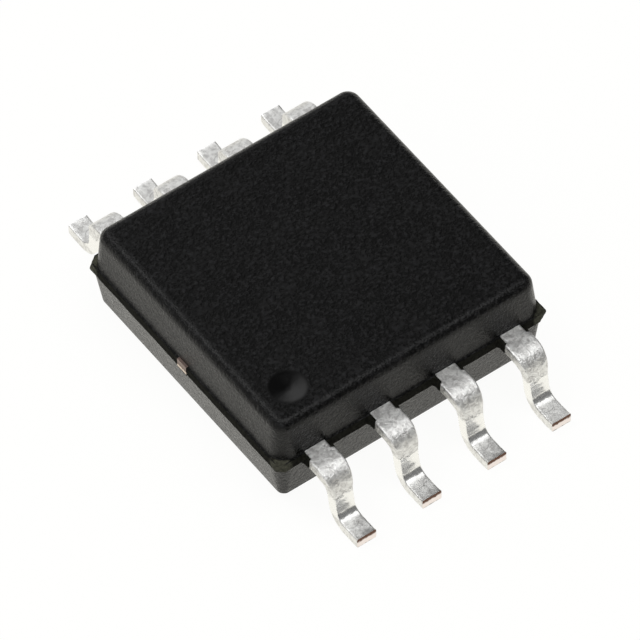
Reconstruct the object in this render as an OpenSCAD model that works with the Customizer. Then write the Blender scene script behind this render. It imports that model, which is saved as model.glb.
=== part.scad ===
// Eight-lead small-outline integrated circuit: a moulded body on two rows of gull-wing leads.
// Millimetres, +Z up. The origin is on the seating plane, under the middle of the body.
// X runs along the rows of leads. Lead 1 is at -X and -Y, beside the dimple, and the leads are
// numbered anticlockwise from it when seen from above.

/* [Moulded body] */
// Length of the parting flange, along the rows of leads
body_length = 5.23; // [5.15:0.01:5.40]
// Width of the parting flange, across the rows of leads
body_width = 5.22; // [5.15:0.01:5.40]
// Height of the top face above the seating plane
body_top = 1.88; // [1.78:0.01:2.05]
// Gap between the underside of the body and the seating plane
standoff = 0.13; // [0.05:0.01:0.20]
// Draft of the upper side faces, in degrees
upper_draft = 6; // [4:1:12]
// Draft of the lower side faces, in degrees
lower_draft = 8; // [6:1:12]
// Radius of the upright corners where the side faces leave the flange
corner_r = 0.30; // [0.20:0.01:0.40]
// Rounding of the edge round the top face
top_edge_r = 0.20; // [0.08:0.01:0.22]
// Rounding of the edge round the underside
bottom_edge_r = 0.05; // [0.03:0.01:0.08]
// Step in from the flange to the upper side faces
upper_ledge = 0.03; // [0.02:0.01:0.10]
// Step in from the flange to the lower side faces
lower_ledge = 0.01; // [0.01:0.01:0.05]
// Radius of the flange's own corners
flange_r = 0.03; // [0.02:0.01:0.10]

/* [Marks moulded into the body] */
// Diameter of the dimple beside lead 1
dimple_d = 0.70; // [0.50:0.05:0.90]
// Depth of the dimple
dimple_depth = 0.05; // [0.03:0.01:0.10]
// Distance of the dimple's centre from the flange's two nearest edges
dimple_inset = 0.72; // [0.65:0.01:0.90]
// Diameter of each ejector pin mark on the underside
ejector_d = 1.00; // [0.60:0.10:1.20]
// Depth of each ejector pin mark
ejector_depth = 0.03; // [0.02:0.01:0.05]
// Distance between the two ejector pin marks
ejector_spacing = 2.40; // [1.60:0.10:2.60]

/* [Leads] */
// Distance between neighbouring leads
pitch = 1.27; // [1.25:0.01:1.29]
// Distance across the two rows, from tip to tip
lead_span = 7.88; // [7.70:0.01:8.10]
// Thickness of the lead frame
frame_t = 0.20; // [0.18:0.01:0.22]
// Height of the middle of the lead frame above the seating plane
frame_z = 1.00; // [0.96:0.01:1.04]
// Width of a lead where it leaves the body
lead_w = 0.40; // [0.36:0.01:0.44]
// Width of a lead's leg and foot
foot_w = 0.37; // [0.34:0.01:0.40]
// Length of the flat part of a foot
foot_l = 0.36; // [0.30:0.01:0.45]
// Lean of the leg from upright, in degrees
leg_lean = 8; // [2:1:12]
// Inner radius of the upper bend
knee_r = 0.18; // [0.12:0.01:0.20]
// Inner radius of the lower bend
heel_r = 0.20; // [0.12:0.01:0.24]
// Width across a lead where the tie between neighbours was punched out
dam_w = 0.50; // [0.46:0.01:0.54]
// Length of that stub along the lead, before the lead narrows towards its leg
dam_l = 0.24; // [0.18:0.01:0.26]

/* [Inside the body] */
// Length of the die pad, along the rows of leads
pad_length = 3.30; // [3.00:0.05:3.40]
// Width of the die pad
pad_width = 2.30; // [2.10:0.05:2.40]
// How far the die pad is pressed down below the leads
downset = 0.20; // [0.10:0.01:0.25]
// Width of a tie bar that carries the die pad
tie_w = 0.24; // [0.20:0.01:0.30]
// How far a cut tie bar stands out of the flange
tie_stub = 0.015; // [0.005:0.005:0.020]
// Thickness of the adhesive under the die
attach_t = 0.025; // [0.020:0.005:0.030]
// Length of the silicon die
die_length = 2.50; // [2.00:0.05:2.70]
// Width of the silicon die
die_width = 1.70; // [1.40:0.05:1.80]
// Thickness of the silicon die
die_t = 0.25; // [0.20:0.01:0.30]
// Diameter of the bond wire
wire_d = 0.025; // [0.020:0.005:0.040]
// Rise of a wire's loop above a straight line between its ends
loop_rise = 0.22; // [0.15:0.01:0.30]

/* [Hidden] */
resin_grey = "#26272a";
tin_grey = "#b4b4b0";
copper = "#b87a56";
adhesive_silver = "#9a9a98";
silicon_grey = "#5f6670";
gold = "#d8b24a";

row_count = 4;                                   // leads in each row
frame_top = frame_z + frame_t / 2;
frame_low = frame_z - frame_t / 2;
flange_edge = body_width / 2;                    // all distances "out" are measured from the X axis
dam_start = flange_edge + 0.155;                 // the stub starts clear of the moulded flange
flash_w = 0.05;                                  // resin left beside a lead by the trim punch
flash_out = dam_start - flange_edge - 0.01;
round_n = 48;                                    // facets of a preview circle

// Lower bend of a lead: centre of its radii
heel_out = lead_span / 2 - foot_l;
heel_z = frame_t + heel_r;
// Upper bend of a lead, placed so that the leg is tangent to both bends
knee_z = frame_low - knee_r;
knee_out = heel_out
    - (knee_r + frame_t + heel_r + (knee_z - heel_z) * sin(leg_lean)) / cos(leg_lean);

// The flat of a lead goes out to its upper bend, which may start within the stub
dam_end = dam_start + dam_l;
flat_end = min(dam_end, knee_out);

// Bonding paddle at the inner end of a lead, and the hole that the resin locks into
paddle_in = 1.42;
paddle_out = 2.22;
paddle_w = 0.66;
shoulder_l = 0.12;
lock_hole_d = 0.24;
lock_hole_out = 2.02;
outer_reach = 0.10;                              // an end lead's paddle leans towards the die

pad_top = frame_top - downset;
tie_knee = pad_length / 2 + 0.12;                // a tie bar climbs between these two distances
tie_crest = tie_knee + 0.22;
attach_top = pad_top + attach_t;
die_top = attach_top + die_t;
fillet = 0.05;                                   // adhesive squeezed out round the die

wire_rings = 14;
wire_sides = 8;
ball_r = 0.035;
ball_h = 0.018;
bond_edge = 0.12;                                // bond pads' distance from the die's edges
stitch_out = 1.60;

// --- Places -------------------------------------------------------------------------------

// Place of a lead along its row, before its row is turned into position
function row_x(number) = (((number - 1) % row_count) - (row_count - 1) / 2) * pitch;
// -1 or 1 at the ends of a row, pointing away from its middle, and 0 for the leads between
function row_end(number) = let (k = (number - 1) % row_count) k == 0 ? -1 : k == row_count - 1 ? 1 : 0;
function row_turn(number) = number > row_count ? 180 : 0;
// Place of a bond pad along the die, where the pads stand closer together than the leads
function bond_x(number) = row_x(number) / row_x(row_count) * (die_length / 2 - bond_edge);

// The upright corners narrow with height, so a tall half needs at least this radius at the flange
function least_corner(height, edge_r, draft) =
    (height - edge_r) * tan(draft) + edge_r / cos(draft) + 0.01;

// Children are drawn in their row's own frame: +X along the row, and outwards is -Y
module in_row(number) {
    rotate([0, 0, row_turn(number)]) children();
}

// --- Moulded body -------------------------------------------------------------------------

// Section of a drafted side, from the axis of an upright corner (x = 0) out to the face.
// The face starts at x = r on the flange and ends in a rounded edge at the given height.
module side_section(r, height, edge_r, draft) {
    arc_z = height - edge_r;
    arc_x = r - arc_z * tan(draft) - edge_r / cos(draft);
    polygon([
        [0, 0],
        [r, 0],
        [arc_x + edge_r * cos(draft), arc_z + edge_r * sin(draft)],
        [arc_x, height],
        [0, height]
    ]);
    translate([arc_x, arc_z]) circle(r = edge_r, $fn = round_n);
}

// One side_section on each end of a plain middle
module full_section(width, r, height, edge_r, draft) {
    middle = width - 2 * r;
    translate([-middle / 2, 0]) square([middle, height]);
    for (side = [0, 1])
        mirror([side, 0]) translate([middle / 2, 0]) side_section(r, height, edge_r, draft);
}

// Half of the body on one side of the flange: drafted faces that run round upright corners
module drafted_half(length, width, height, edge_r, draft) {
    r = max(corner_r, least_corner(height, edge_r, draft));
    rotate([90, 0, 0]) linear_extrude(width - 2 * r, center = true)
        full_section(length, r, height, edge_r, draft);
    rotate([90, 0, 90]) linear_extrude(length - 2 * r, center = true)
        full_section(width, r, height, edge_r, draft);
    for (x = [-1, 1], y = [-1, 1])
        translate([x * (length / 2 - r), y * (width / 2 - r), 0])
            rotate_extrude($fn = round_n) side_section(r, height, edge_r, draft);
}

// Thin flange where the two halves of the mould met, as thick as the lead frame
module flange() {
    translate([0, 0, frame_low]) linear_extrude(frame_t) {
        square([body_length - 2 * flange_r, body_width], center = true);
        square([body_length, body_width - 2 * flange_r], center = true);
        for (x = [-1, 1], y = [-1, 1])
            translate([x * (body_length / 2 - flange_r), y * (body_width / 2 - flange_r)])
                circle(r = flange_r, $fn = round_n);
    }
}

// Resin that the trim punch left standing on both sides of a lead
module trim_flash(number) {
    in_row(number) translate([row_x(number), -flange_edge, frame_low]) linear_extrude(frame_t)
        for (side = [0, 1]) mirror([side, 0])
            polygon([
                [0, 0.02],
                [lead_w / 2 + 1.6 * flash_w, 0.02],
                [lead_w / 2 + 1.6 * flash_w, 0],
                [lead_w / 2 + flash_w, -0.4 * flash_out],
                [lead_w / 2 + flash_w, -flash_out],
                [0, -flash_out]
            ]);
}

module dimple() {
    translate([
        dimple_inset - body_length / 2,
        dimple_inset - body_width / 2,
        body_top - dimple_depth
    ])
        cylinder(h = 2 * dimple_depth, d1 = dimple_d - dimple_depth, d2 = dimple_d + dimple_depth,
            $fn = round_n);
}

module ejector_marks() {
    for (x = [-1, 1])
        translate([x * ejector_spacing / 2, 0, standoff - ejector_depth])
            cylinder(h = 2 * ejector_depth, d = ejector_d, $fn = round_n);
}

module mould_body() {
    color(resin_grey)
    difference() {
        union() {
            translate([0, 0, frame_top - 0.02])
                drafted_half(body_length - 2 * upper_ledge, body_width - 2 * upper_ledge,
                    body_top - frame_top + 0.02, top_edge_r, upper_draft);
            mirror([0, 0, 1]) translate([0, 0, -frame_low - 0.02])
                drafted_half(body_length - 2 * lower_ledge, body_width - 2 * lower_ledge,
                    frame_low + 0.02 - standoff, bottom_edge_r, lower_draft);
            flange();
            for (number = [1:2 * row_count]) trim_flash(number);
        }
        dimple();
        ejector_marks();
        for (number = [1:2 * row_count]) {
            flat_of_lead(number);
            bond_wire(number);
        }
        die_pad();
        die_attach();
        die();
    }
}

// --- Leads --------------------------------------------------------------------------------

// Part of a ring between two angles that are less than 180 degrees apart
module ring_sector(r_in, r_out, from, to) {
    reach = 3 * r_out;
    middle = (from + to) / 2;
    intersection() {
        difference() {
            circle(r = r_out, $fn = round_n);
            circle(r = r_in, $fn = round_n);
        }
        polygon([
            [0, 0],
            reach * [cos(from), sin(from)],
            reach * [cos(middle), sin(middle)],
            reach * [cos(to), sin(to)]
        ]);
    }
}

// Extrudes a side view, whose x is the distance out and y the height, across a lead
module across_lead() {
    rotate([90, 0, -90]) linear_extrude(2 * dam_w, center = true) children();
}

// The formed lead outside the body, wider than the strip that it was bent from
module gull_wing() {
    out = [cos(leg_lean), sin(leg_lean)];
    knee = [knee_out, knee_z];
    heel = [heel_out, heel_z];
    tip = lead_span / 2;
    across_lead() polygon([
        [dam_start, frame_low],
        [knee_out, frame_low],
        [knee_out, frame_top],
        [dam_start, frame_top]
    ]);
    across_lead() translate(knee) ring_sector(knee_r, knee_r + frame_t, leg_lean, 90);
    across_lead() polygon([
        knee + out * knee_r,
        heel - out * (heel_r + frame_t),
        heel - out * heel_r,
        knee + out * (knee_r + frame_t)
    ]);
    across_lead() translate(heel) ring_sector(heel_r, heel_r + frame_t, 180 + leg_lean, 270);
    across_lead() polygon([[heel_out, 0], [tip, 0], [tip, frame_t], [heel_out, frame_t]]);
}

// Blanked outline of a lead from its stub outwards, seen from above. The stub is left where the
// tie between neighbours was punched out, and the lead narrows round the upper bend.
module lead_blank() {
    neck = knee_out + knee_r + frame_t;
    linear_extrude(2 * frame_z) polygon([
        [-dam_w / 2, -dam_start],
        [-dam_w / 2, -dam_end],
        [-foot_w / 2, -neck],
        [-foot_w / 2, -lead_span / 2],
        [foot_w / 2, -lead_span / 2],
        [foot_w / 2, -neck],
        [dam_w / 2, -dam_end],
        [dam_w / 2, -dam_start]
    ]);
}

// Inner end of a lead: stem, shoulders, and a bonding paddle with its lock hole
module lead_finger(lean) {
    difference() {
        union() {
            translate([-lead_w / 2, -flat_end, 0]) cube([lead_w, flat_end - paddle_out, frame_t]);
            linear_extrude(frame_t) polygon([
                [-lead_w / 2, -paddle_out - shoulder_l],
                [lead_w / 2, -paddle_out - shoulder_l],
                [paddle_w / 2, -paddle_out],
                [paddle_w / 2 + lean, -paddle_in],
                [-paddle_w / 2 + lean, -paddle_in],
                [-paddle_w / 2, -paddle_out]
            ]);
        }
        translate([0, -lock_hole_out, -frame_t])
            cylinder(h = 3 * frame_t, d = lock_hole_d, $fn = round_n);
    }
}

// The flat of a lead, from its bonding paddle out to the stub and the upper bend
module flat_of_lead(number) {
    in_row(number) translate([row_x(number), 0, frame_low]) {
        lead_finger(-row_end(number) * outer_reach);
        translate([-dam_w / 2, -flat_end, 0]) cube([dam_w, flat_end - dam_start, frame_t]);
    }
}

module lead(number) {
    color(tin_grey) {
        flat_of_lead(number);
        in_row(number) translate([row_x(number), 0, 0]) intersection() {
            gull_wing();
            lead_blank();
        }
    }
}

// --- Inside the body ----------------------------------------------------------------------

// Side view of half of the die pad with its tie bar, which climbs from the pad to the flange
module tie_profile() {
    reach = body_length / 2 + tie_stub;
    polygon([
        [0, pad_top - frame_t],
        [tie_knee, pad_top - frame_t],
        [tie_crest, frame_low],
        [reach, frame_low],
        [reach, frame_top],
        [tie_crest, frame_top],
        [tie_knee, pad_top],
        [0, pad_top]
    ]);
}

module die_pad() {
    color(copper) {
        translate([-pad_length / 2, -pad_width / 2, pad_top - frame_t])
            cube([pad_length, pad_width, frame_t]);
        for (side = [0, 1]) mirror([side, 0, 0])
            rotate([90, 0, 0]) linear_extrude(tie_w, center = true) tie_profile();
    }
}

module die_attach() {
    color(adhesive_silver)
    translate([0, 0, pad_top]) linear_extrude(attach_t)
        square([die_length + 2 * fillet, die_width + 2 * fillet], center = true);
}

module die() {
    color(silicon_grey)
    translate([0, 0, attach_top]) linear_extrude(die_t)
        square([die_length, die_width], center = true);
}

// Round tube through a list of centres that all lie in one upright plane
module wire_tube(centres, heading) {
    across = [-heading[1], heading[0], 0];
    last = len(centres) - 1;
    rings = [
        for (i = [0:last])
            let (step = centres[min(i + 1, last)] - centres[max(i - 1, 0)])
            let (up = cross(step / norm(step), across))
            for (s = [0:wire_sides - 1])
                let (turn = 360 * s / wire_sides)
                centres[i] + wire_d / 2 * (cos(turn) * across + sin(turn) * up)
    ];
    sides = [
        for (i = [0:last - 1], s = [0:wire_sides - 1])
            let (next = (s + 1) % wire_sides)
            [
                i * wire_sides + s,
                i * wire_sides + next,
                (i + 1) * wire_sides + next,
                (i + 1) * wire_sides + s
            ]
    ];
    first_cap = [for (s = [wire_sides - 1:-1:0]) s];
    last_cap = [for (s = [0:wire_sides - 1]) last * wire_sides + s];
    polyhedron(points = rings, faces = concat(sides, [first_cap], [last_cap]), convexity = 4);
}

// Wire from a ball on the die, steeply up, over the die's edge and down to a stitch on a paddle
module bond_wire(number) {
    ball = [bond_x(number), bond_edge - die_width / 2, die_top];
    stitch = [row_x(number) - row_end(number) * outer_reach * 0.8, -stitch_out, frame_top];
    run = stitch + [0, 0, wire_d * 0.7] - ball - [0, 0, ball_h];
    heading = [run[0], run[1]] / norm([run[0], run[1]]);
    centres = [
        for (i = [0:wire_rings - 1])
            let (t = i / (wire_rings - 1))
            ball + [0, 0, ball_h * (1 - t)] + (run + [0, 0, ball_h]) * t
                + [0, 0, loop_rise * sin(180 * pow(t, 0.55))]
    ];
    color(gold) in_row(number) {
        translate(ball) cylinder(r = ball_r, h = ball_h * 1.4, $fn = round_n);
        translate(stitch) cylinder(r = ball_r, h = wire_d, $fn = round_n);
        wire_tube(centres, heading);
    }
}

// --- The nodes ----------------------------------------------------------------------------

mould_body();
lead(1);  // lead_1
lead(2);  // lead_2
lead(3);  // lead_3
lead(4);  // lead_4
lead(5);  // lead_5
lead(6);  // lead_6
lead(7);  // lead_7
lead(8);  // lead_8
die_pad();
die_attach();
die();
bond_wire(1);  // bond_wire_1
bond_wire(2);  // bond_wire_2
bond_wire(3);  // bond_wire_3
bond_wire(4);  // bond_wire_4
bond_wire(5);  // bond_wire_5
bond_wire(6);  // bond_wire_6
bond_wire(7);  // bond_wire_7
bond_wire(8);  // bond_wire_8
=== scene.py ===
"""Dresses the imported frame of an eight-lead small-outline chip.

The moulded body and the eight leads are made here in full detail and replace their plain solids.
The pieces sealed inside the resin stay as the frame has them and get their real finishes.
+X runs along the rows of leads, +Z is up, and lead 1 is at -X and -Y beside the dimple.
"""

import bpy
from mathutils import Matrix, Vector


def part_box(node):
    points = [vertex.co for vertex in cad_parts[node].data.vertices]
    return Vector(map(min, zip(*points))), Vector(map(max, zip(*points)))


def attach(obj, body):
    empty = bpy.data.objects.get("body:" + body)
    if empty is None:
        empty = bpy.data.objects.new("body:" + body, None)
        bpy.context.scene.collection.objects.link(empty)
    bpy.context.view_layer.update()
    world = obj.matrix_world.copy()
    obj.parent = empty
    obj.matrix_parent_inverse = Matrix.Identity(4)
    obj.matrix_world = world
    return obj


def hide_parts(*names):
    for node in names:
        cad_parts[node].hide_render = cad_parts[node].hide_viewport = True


bl_info = {
    "name": "Small-outline chip",
    "version": (1, 0, 0),
    "blender": (4, 5, 0),
    "location": "View3D > Sidebar > Chip",
    "description": "Makes the moulded body, the formed leads, the finishes and the stage of a chip",
    "category": "Object",
}

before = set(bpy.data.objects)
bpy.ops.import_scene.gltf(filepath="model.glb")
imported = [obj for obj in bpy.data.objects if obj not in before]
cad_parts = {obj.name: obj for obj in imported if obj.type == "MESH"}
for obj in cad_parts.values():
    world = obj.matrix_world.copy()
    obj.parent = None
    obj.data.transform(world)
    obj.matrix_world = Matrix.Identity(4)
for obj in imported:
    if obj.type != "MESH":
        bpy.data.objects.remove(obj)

import math

import bmesh
import bpy
from bpy.props import FloatProperty, FloatVectorProperty, PointerProperty
from mathutils import Matrix, Vector, noise

MM = 0.001
BODY = "root"
LEADS = range(1, 9)
LEADS_IN_ROW = 4

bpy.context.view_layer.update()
BODY_LOW, BODY_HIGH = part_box("mould_body")
LEAD_LOW, LEAD_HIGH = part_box("lead_2")
NEXT_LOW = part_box("lead_3")[0]
PAD_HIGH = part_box("die_pad")[1]

PITCH = NEXT_LOW.x - LEAD_LOW.x
FRAME_TOP = LEAD_HIGH.z          # upper side of the lead frame where it crosses the flange
TIP_OUT = -LEAD_LOW.y            # "out" is always a distance from the X axis


# --- Small helpers --------------------------------------------------------------------------


def linear(code):
    """Linear red, green and blue of an sRGB hex colour."""
    channels = [int(code[i:i + 2], 16) / 255 for i in (1, 3, 5)]
    return [c / 12.92 if c <= 0.04045 else ((c + 0.055) / 1.055) ** 2.4 for c in channels]


def rgba(colour):
    """A colour with full opacity."""
    return (*colour[:3], 1.0)


def feed(tree, node, inputs):
    """Sets or links a node's inputs, named or numbered. A node stands for its first output."""
    for key, value in inputs.items():
        if isinstance(value, bpy.types.Node):
            value = value.outputs[0]
        if isinstance(value, bpy.types.NodeSocket):
            tree.links.new(value, node.inputs[key])
        else:
            node.inputs[key].default_value = value


def add(tree, kind, inputs=None, **settings):
    """Adds a node, with its settings and its inputs."""
    node = tree.nodes.new(kind)
    for name, value in settings.items():
        setattr(node, name, value)
    feed(tree, node, inputs or {})
    return node


def smooth(low, high, value):
    """0 below low, 1 above high, and a smooth step between."""
    t = min(max((value - low) / (high - low), 0.0), 1.0)
    return t * t * (3 - 2 * t)


def bump_at(centre, reach, value):
    """1 at the centre, falling smoothly to 0 at the reach."""
    return 1 - smooth(0, reach, abs(value - centre))


def rough_noise(point, size, seed=0.0):
    """Smooth noise from -1 to 1 whose bumps are about the given size."""
    return noise.noise(Vector(point) / size + Vector((seed, -2.7 * seed, 1.3 * seed)))


def row_place(number):
    """A lead's place along its row, and the turn that brings its row into position."""
    along = ((number - 1) % LEADS_IN_ROW - (LEADS_IN_ROW - 1) / 2) * PITCH
    turn = math.pi if number > LEADS_IN_ROW else 0.0
    return along, Matrix.Rotation(turn, 4, "Z")


def new_piece(name, mesh, replaced=()):
    """Links a finished mesh as a piece that rides on the body and stands for its solids."""
    piece = bpy.data.objects.new(name, mesh)
    bpy.context.scene.collection.objects.link(piece)
    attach(piece, BODY)
    if replaced:
        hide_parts(*replaced)
    return piece


# --- Settings -------------------------------------------------------------------------------


def length(text, default, note=""):
    """A length property in metres."""
    return FloatProperty(name=text, description=note or text, default=default, min=0.0,
                         unit="LENGTH", precision=6)


def slope(text, degrees, note):
    """A small angle."""
    return FloatProperty(name=text, description=note, default=math.radians(degrees), min=0.0,
                         max=0.4, subtype="ANGLE")


def tint(text, code):
    """A colour property whose default is an sRGB hex value."""
    return FloatVectorProperty(name=text, description=text, default=linear(code), size=3,
                               min=0.0, max=1.0, subtype="COLOR")


class BodySettings(bpy.types.PropertyGroup):
    """Sizes and colours of the moulded body."""

    flange_width: length("Flange width", 5.22 * MM, "Width of the flange across the rows of leads")
    flange_thickness: length("Flange thickness", 0.20 * MM)
    flange_corner: length("Flange corner radius", 0.03 * MM)
    upper_corner: length("Upper corner radius", 0.30 * MM, "Radius of the upper upright corners")
    lower_corner: length("Lower corner radius", 0.24 * MM, "Radius of the lower upright corners")
    upper_ledge: length("Upper ledge", 0.03 * MM, "Step in from the flange to the upper faces")
    lower_ledge: length("Lower ledge", 0.01 * MM, "Step in from the flange to the lower faces")
    top_edge: length("Top edge radius", 0.20 * MM)
    bottom_edge: length("Bottom edge radius", 0.05 * MM)
    upper_draft: slope("Upper draft", 6, "Slope of the upper side faces")
    lower_draft: slope("Lower draft", 8, "Slope of the lower side faces")
    dimple_diameter: length("Dimple diameter", 0.70 * MM)
    dimple_depth: length("Dimple depth", 0.034 * MM)
    dimple_inset: length("Dimple inset", 0.72 * MM, "Distance of the dimple from the flange edges")
    mark_diameter: length("Ejector mark diameter", 1.00 * MM)
    mark_depth: length("Ejector mark depth", 0.03 * MM)
    mark_spacing: length("Ejector mark spacing", 2.40 * MM)
    grain: length("Grain size", 0.036 * MM, "Size of the texture that the mould leaves")
    resin: tint("Resin", "#0d0d0e")
    torn_resin: tint("Torn resin", "#141410")


class LeadSettings(bpy.types.PropertyGroup):
    """Sizes and colours of the formed leads."""

    thickness: length("Thickness", 0.20 * MM)
    width: length("Lead width", 0.40 * MM, "Width where the lead leaves the body")
    foot_width: length("Foot width", 0.37 * MM)
    foot_length: length("Foot length", 0.36 * MM)
    knee_radius: length("Knee radius", 0.18 * MM, "Inner radius of the upper bend")
    heel_radius: length("Heel radius", 0.20 * MM, "Inner radius of the lower bend")
    lean: slope("Leg lean", 8, "Lean of the leg from upright")
    stub_width: length("Stub width", 0.50 * MM, "Width where the tie between leads was punched")
    stub_start: length("Stub start", 2.765 * MM, "Distance of the stub from the X axis")
    stub_length: length("Stub length", 0.24 * MM)
    taper_length: length("Taper length", 0.55 * MM, "Length over which the stub's width runs out")
    edge_radius: length("Edge radius", 0.022 * MM, "Rounding that stamping leaves on the edges")
    spacing: length("Ring spacing", 0.014 * MM, "Distance between the rings of the swept mesh")
    mottle: length("Mottle size", 0.075 * MM, "Size of the crystals in the matt tin")
    tin: tint("Tin", "#f2f2f0")
    dull_tin: tint("Dull tin", "#cccbc9")
    copper: tint("Copper", "#b98062")


class StageSettings(bpy.types.PropertyGroup):
    """Camera and floor."""

    azimuth: FloatProperty(name="Azimuth", description="Turn of the camera round the chip",
                           default=math.radians(-34.338), subtype="ANGLE")
    elevation: FloatProperty(name="Elevation", description="Height of the camera as an angle",
                             default=math.radians(51.938), subtype="ANGLE")
    roll: FloatProperty(name="Roll", description="Lean of the camera",
                        default=math.radians(-2.0), subtype="ANGLE")
    distance: length("Camera distance", 158.89 * MM)
    focal: FloatProperty(name="Focal length", description="Focal length of the lens, in mm",
                         default=560.3, min=1.0)
    aim_right: FloatProperty(name="Aim right", description="Aim beside the origin",
                             default=0.0331 * MM, unit="LENGTH", precision=6)
    aim_up: FloatProperty(name="Aim up", description="Aim above the origin",
                          default=0.1156 * MM, unit="LENGTH", precision=6)
    floor_size: length("Floor size", 4.0)
    floor: tint("Floor", "#f7f7f7")


# --- Moulded body ---------------------------------------------------------------------------

GRID = 112                       # squares along each side of the top and bottom grids
CORNER_STEPS = 6                 # points on each half of a rounded corner
RESIN_SINK = 0.012 * MM          # how far the flange's upper side lies below the leads'
# Flange corners that broke off: the signs of their x and y, and the lengths cut from both edges at
# the flange's lower and upper side
BROKEN_CORNERS = (
    (-1, -1, 0.11 * MM, 0.11 * MM),
    (1, -1, 0.13 * MM, 0.0),
    (1, 1, 0.04 * MM, 0.04 * MM),
    (-1, 1, 0.05 * MM, 0.14 * MM),
)
TORN_AT = -2.05 * MM             # middle of the torn strip along the lower edge beside lead 1
TORN_REACH = 0.42 * MM           # half the length of that strip
BREAK_REACH = 0.27 * MM          # how far from the flange's sharp corners its breaks may show
# Bites out of the flange's ragged edge: their size, depth and seed
BITES = ((0.09 * MM, 0.010 * MM, 3.1), (0.03 * MM, 0.006 * MM, 8.4))
MOULDED, TORN, POLISHED = range(3)      # the body's material slots


def flange_halves(s):
    """Half the length and half the width of the flange."""
    return (BODY_HIGH.x - BODY_LOW.x) / 2, s.flange_width / 2


def rounded_loop(half_x, half_y, radius):
    """4 * GRID points round a rounded rectangle, from the middle of its corner at -X and -Y.

    Every loop has its corners at the same places in the list, so loops of any size and radius
    join point to point, and the flat faces are grids that share their border with a loop.
    """
    points = []
    corners = [(-1, -1), (1, -1), (1, 1), (-1, 1)]
    for k, (sx, sy) in enumerate(corners):
        nx, ny = corners[(k + 1) % 4]
        start = math.radians(225 + 90 * k)
        here = Vector((sx * (half_x - radius), sy * (half_y - radius)))
        there = Vector((nx * (half_x - radius), ny * (half_y - radius)))
        for i in range(CORNER_STEPS):
            angle = start + math.radians(45) * i / CORNER_STEPS
            points.append(here + radius * Vector((math.cos(angle), math.sin(angle))))
        square_on = start + math.radians(45)
        out = radius * Vector((math.cos(square_on), math.sin(square_on)))
        straight = GRID - 2 * CORNER_STEPS
        for i in range(straight):
            points.append((here + out).lerp(there + out, i / straight))
        for i in range(CORNER_STEPS):
            angle = start + math.radians(45) * (1 + i / CORNER_STEPS)
            points.append(there + radius * Vector((math.cos(angle), math.sin(angle))))
    return points


def filled_grid(loop):
    """Rows of points that fill a loop made by rounded_loop, blended from its four sides."""
    n = GRID
    south = [loop[i] for i in range(n + 1)]
    east = [loop[n + i] for i in range(n + 1)]
    north = [loop[3 * n - i] for i in range(n + 1)]
    west = [loop[(4 * n - i) % (4 * n)] for i in range(n + 1)]
    rows = []
    for j in range(n + 1):
        v = j / n
        row = []
        for i in range(n + 1):
            u = i / n
            edges = (1 - v) * south[i] + v * north[i] + (1 - u) * west[j] + u * east[j]
            ends = ((1 - u) * (1 - v) * south[0] + u * (1 - v) * south[n]
                    + (1 - u) * v * north[0] + u * v * north[n])
            row.append(edges - ends)
        rows.append(row)
    return rows


def border_of(grid, low_i, high_i, low_j, high_j):
    """The vertices round a window of a grid, anticlockwise."""
    ring = [grid[low_j][i] for i in range(low_i, high_i)]
    ring += [grid[j][high_i] for j in range(low_j, high_j)]
    ring += [grid[high_j][i] for i in range(high_i, low_i, -1)]
    ring += [grid[j][low_i] for j in range(high_j, low_j, -1)]
    return ring


def stitch(mesh, ring_a, ring_b, material):
    """Joins two rings of as many vertices with a band of quads."""
    count = len(ring_a)
    for i in range(count):
        k = (i + 1) % count
        face = mesh.faces.new((ring_a[i], ring_a[k], ring_b[k], ring_b[i]))
        face.material_index = material
        face.smooth = True


class Recess:
    """A round recess that a polished pin of the mould left in a flat face.

    The profile is a list of (radius, depth) pairs, and the band that leads to each pair from number
    floor_from on is polished. The reach is half the side of the square patch round the recess.
    """

    def __init__(self, x, y, reach, profile, floor_from):
        self.x, self.y, self.reach = x, y, reach
        self.profile = profile
        self.floor_from = floor_from


def flat_face(mesh, border, loop, z, sign, recesses):
    """Fills a loop with a grid, with a polar patch in the place of each recess."""
    grid = []
    points = filled_grid(loop)
    n = GRID
    for j in range(n + 1):
        row = []
        for i in range(n + 1):
            on_border = {0: i, n: 3 * n - i}.get(j)
            if on_border is None:
                on_border = {0: (4 * n - j) % (4 * n), n: n + j}.get(i)
            if on_border is None:
                row.append(mesh.verts.new((*points[j][i], z)))
            else:
                row.append(border[on_border % (4 * n)])
        grid.append(row)
    windows = []
    for recess in recesses:
        inside_i = [i for i in range(1, n) if abs(points[n // 2][i].x - recess.x) < recess.reach]
        inside_j = [j for j in range(1, n) if abs(points[j][n // 2].y - recess.y) < recess.reach]
        window = (inside_i[0], inside_i[-1], inside_j[0], inside_j[-1])
        windows.append(window)
        fill_recess(mesh, grid, window, recess, z, sign)
    for j in range(n):
        for i in range(n):
            if any(a <= i < b and c <= j < d for a, b, c, d in windows):
                continue
            face = mesh.faces.new((grid[j][i], grid[j][i + 1], grid[j + 1][i + 1], grid[j + 1][i]))
            face.smooth = True
    for a, b, c, d in windows:
        for j in range(c + 1, d):
            for i in range(a + 1, b):
                mesh.verts.remove(grid[j][i])


def fill_recess(mesh, grid, window, recess, z, sign):
    """Rings from the square border of a window down the recess's profile to its middle."""
    ring = border_of(grid, *window)
    turns = [math.atan2(v.co.y - recess.y, v.co.x - recess.x) for v in ring]
    for k, (radius, depth) in enumerate(recess.profile):
        inner = [
            mesh.verts.new((
                recess.x + radius * math.cos(turn),
                recess.y + radius * math.sin(turn),
                z - sign * depth,
            ))
            for turn in turns
        ]
        stitch(mesh, ring, inner, POLISHED if k >= recess.floor_from else MOULDED)
        ring = inner
    middle = mesh.verts.new((recess.x, recess.y, z - sign * recess.profile[-1][1]))
    for i in range(len(ring)):
        face = mesh.faces.new((ring[i], ring[(i + 1) % len(ring)], middle))
        face.material_index = POLISHED
        face.smooth = True


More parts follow.
